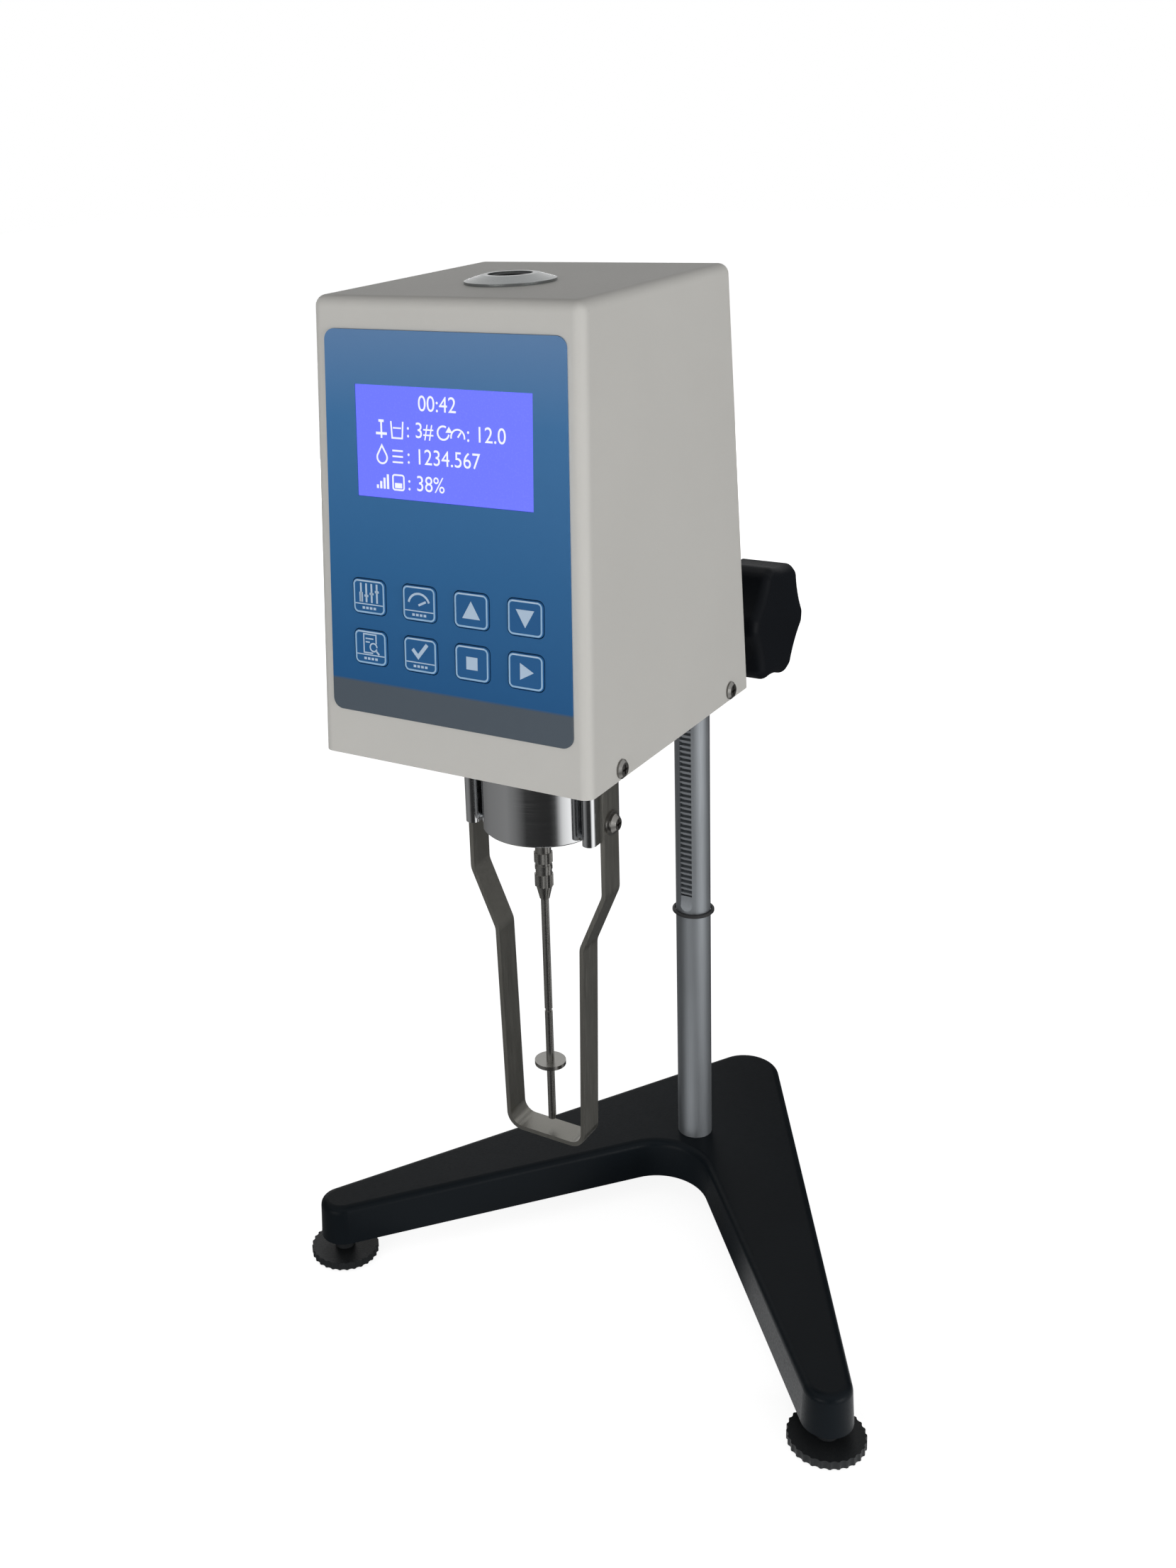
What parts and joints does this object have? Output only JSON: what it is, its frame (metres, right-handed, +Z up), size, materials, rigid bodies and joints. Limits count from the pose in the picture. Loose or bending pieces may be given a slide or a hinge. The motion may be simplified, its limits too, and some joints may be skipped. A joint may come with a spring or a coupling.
{
  "type": "rotational viscometer",
  "caption": "Bench rotational viscometer: tapered head with display and keys, cup, guard and disc spindle, on a rack-and-pinion column with a V base and levelling feet.",
  "frame": {"origin": "middle of the footprint on the bench: under the middle of the box, at the underside of the three foot pads", "axes": "+Z up along the column, -Y the front with the display, +X the reader's right, the lift knob's side"},
  "size_m": [0.267, 0.2756, 0.4574],
  "materials": {
    "black_enamel": "satin",
    "cover_paint": "semi-gloss",
    "column_steel": "brushed",
    "polished_steel": "polished",
    "satin_steel": "satin",
    "clamp_paint": "satin",
    "brass": "machined",
    "aluminium": "machined",
    "knob_black": "matte",
    "foot_black": "matte",
    "rubber": "matte",
    "panel_blue": "satin",
    "window": "clear",
    "display": "lit",
    "board": "matte",
    "key_blue": "satin",
    "vial": "clear",
    "switch_black": "gloss",
    "motor_black": "satin",
    "spring_steel": "bright"
  },
  "bodies": {
    "stand": {"base_casting": "black_enamel", "column": "column_steel", "column_nut": "satin_steel", "stop_ring": "rubber"},
    "pad_left": {"foot_pad_left": "rubber"},
    "foot_left": {"foot_left": "foot_black"},
    "pad_right": {"foot_pad_right": "rubber"},
    "foot_right": {"foot_right": "foot_black"},
    "pad_rear": {"foot_pad_rear": "rubber"},
    "foot_rear": {"foot_rear": "foot_black"},
    "lift_clamp": {"clamp_body": "clamp_paint", "pinion_bush": "brass"},
    "lift_drive": {"pinion_shaft": "polished_steel", "lift_knob": "knob_black", "shaft_clip": "polished_steel"},
    "rod_lock": {"rod_lock_knob": "knob_black"},
    "slide_tension": {"tension_screw": "knob_black"},
    "head": {"housing_cover": "cover_paint", "chassis_plate": "satin_steel", "cover_screws": "satin_steel", "rod_bracket": "satin_steel", "head_rod": "polished_steel", "front_panel": "panel_blue", "display_window": "window", "display_module": "display", "key_board": "board", "switch_frame": "switch_black", "power_jack": "polished_steel", "level_bezel": "polished_steel", "level_seal": "rubber", "level_vial": "vial", "cup_housing": "polished_steel", "guard_blocks": "satin_steel", "guard": "satin_steel", "guard_screws": "satin_steel", "guard_washers": "satin_steel", "motor": "motor_black", "motor_plate": "satin_steel", "pillars": "aluminium", "pivot_bearings": "brass", "rim_sensors": "switch_black", "control_board": "board"},
    "key_rotor": {"key_rotor": "key_blue"},
    "key_speed": {"key_speed": "key_blue"},
    "key_up": {"key_up": "key_blue"},
    "key_down": {"key_down": "key_blue"},
    "key_search": {"key_search": "key_blue"},
    "key_ok": {"key_ok": "key_blue"},
    "key_stop": {"key_stop": "key_blue"},
    "key_start": {"key_start": "key_blue"},
    "power_rocker": {"switch_rocker": "switch_black"},
    "drive": {"motor_shaft": "polished_steel", "upper_disc": "aluminium", "hairspring": "spring_steel"},
    "measuring": {"pivot_shaft": "polished_steel", "lower_disc": "aluminium", "coupling_nut": "polished_steel", "spindle_hub": "polished_steel", "spindle": "polished_steel"}
  },
  "joints": [
    {"name": "foot_left_height", "type": "slide", "parent": "stand", "child": "pad_left", "axis": [0, 0, 1], "range_m": [-0.004, 0.004]},
    {"name": "foot_left_turn", "type": "hinge", "parent": "pad_left", "child": "foot_left", "pos_m": [-0.1179, -0.0711, 0.01], "axis": [0, 0, 1], "range_deg": [-1150, 1150]},
    {"name": "foot_right_height", "type": "slide", "parent": "stand", "child": "pad_right", "axis": [0, 0, 1], "range_m": [-0.004, 0.004]},
    {"name": "foot_right_turn", "type": "hinge", "parent": "pad_right", "child": "foot_right", "pos_m": [0.1179, -0.0711, 0.01], "axis": [0, 0, 1], "range_deg": [-1150, 1150]},
    {"name": "foot_rear_height", "type": "slide", "parent": "stand", "child": "pad_rear", "axis": [0, 0, 1], "range_m": [-0.004, 0.004]},
    {"name": "foot_rear_turn", "type": "hinge", "parent": "pad_rear", "child": "foot_rear", "pos_m": [0, 0.1208, 0.01], "axis": [0, 0, 1], "range_deg": [-1150, 1150]},
    {"name": "column_slide", "type": "slide", "parent": "stand", "child": "lift_clamp", "axis": [0, 0, 1], "range_m": [-0.1, 0.095]},
    {"name": "lift_knob_turn", "type": "hinge", "parent": "lift_clamp", "child": "lift_drive", "pos_m": [0, 0.04722, 0.2978], "axis": [1, 0, 0], "range_deg": [-860, 900]},
    {"name": "rod_lock_turn", "type": "hinge", "parent": "lift_clamp", "child": "rod_lock", "pos_m": [-0.024, 0.0353, 0.317], "axis": [-1, 0, 0], "range_deg": [-180, 180]},
    {"name": "tension_screw_turn", "type": "hinge", "parent": "lift_clamp", "child": "slide_tension", "pos_m": [0, 0.0798, 0.2978], "axis": [0, 1, 0], "range_deg": [-180, 180]},
    {"name": "head_level", "type": "hinge", "parent": "lift_clamp", "child": "head", "pos_m": [0, 0.0198, 0.317], "axis": [0, 1, 0], "range_deg": [-10, 10]},
    {"name": "key_rotor_press", "type": "slide", "parent": "head", "child": "key_rotor", "axis": [0, 0.9988, -0.048], "range_m": [0, 0.0004], "stiffness_N_per_m": 3000, "springref_m": -0.0003},
    {"name": "key_speed_press", "type": "slide", "parent": "head", "child": "key_speed", "axis": [0, 0.9988, -0.048], "range_m": [0, 0.0004], "stiffness_N_per_m": 3000, "springref_m": -0.0003},
    {"name": "key_up_press", "type": "slide", "parent": "head", "child": "key_up", "axis": [0, 0.9988, -0.048], "range_m": [0, 0.0004], "stiffness_N_per_m": 3000, "springref_m": -0.0003},
    {"name": "key_down_press", "type": "slide", "parent": "head", "child": "key_down", "axis": [0, 0.9988, -0.048], "range_m": [0, 0.0004], "stiffness_N_per_m": 3000, "springref_m": -0.0003},
    {"name": "key_search_press", "type": "slide", "parent": "head", "child": "key_search", "axis": [0, 0.9988, -0.048], "range_m": [0, 0.0004], "stiffness_N_per_m": 3000, "springref_m": -0.0003},
    {"name": "key_ok_press", "type": "slide", "parent": "head", "child": "key_ok", "axis": [0, 0.9988, -0.048], "range_m": [0, 0.0004], "stiffness_N_per_m": 3000, "springref_m": -0.0003},
    {"name": "key_stop_press", "type": "slide", "parent": "head", "child": "key_stop", "axis": [0, 0.9988, -0.048], "range_m": [0, 0.0004], "stiffness_N_per_m": 3000, "springref_m": -0.0003},
    {"name": "key_start_press", "type": "slide", "parent": "head", "child": "key_start", "axis": [0, 0.9988, -0.048], "range_m": [0, 0.0004], "stiffness_N_per_m": 3000, "springref_m": -0.0003},
    {"name": "power_switch", "type": "hinge", "parent": "head", "child": "power_rocker", "pos_m": [-0.032, -0.00957, 0.32098], "axis": [1, 0, 0], "range_deg": [0, 16]},
    {"name": "drive_turn", "type": "hinge", "parent": "head", "child": "drive", "pos_m": [0, -0.0754, 0.377], "axis": [0, 0, 1], "continuous": true},
    {"name": "spring_deflection", "type": "hinge", "parent": "drive", "child": "measuring", "pos_m": [0, -0.0754, 0.29], "axis": [0, 0, 1], "range_deg": [0, 85], "stiffness_Nm_per_rad": 0.000045}
  ],
  "couplings": [
    {"joint": "foot_left_height", "follows": "foot_left_turn", "m_per_rad": 0.00019894},
    {"joint": "foot_right_height", "follows": "foot_right_turn", "m_per_rad": 0.00019894},
    {"joint": "foot_rear_height", "follows": "foot_rear_turn", "m_per_rad": 0.00019894},
    {"joint": "lift_knob_turn", "follows": "column_slide", "rad_per_m": -156.25}
  ]
}
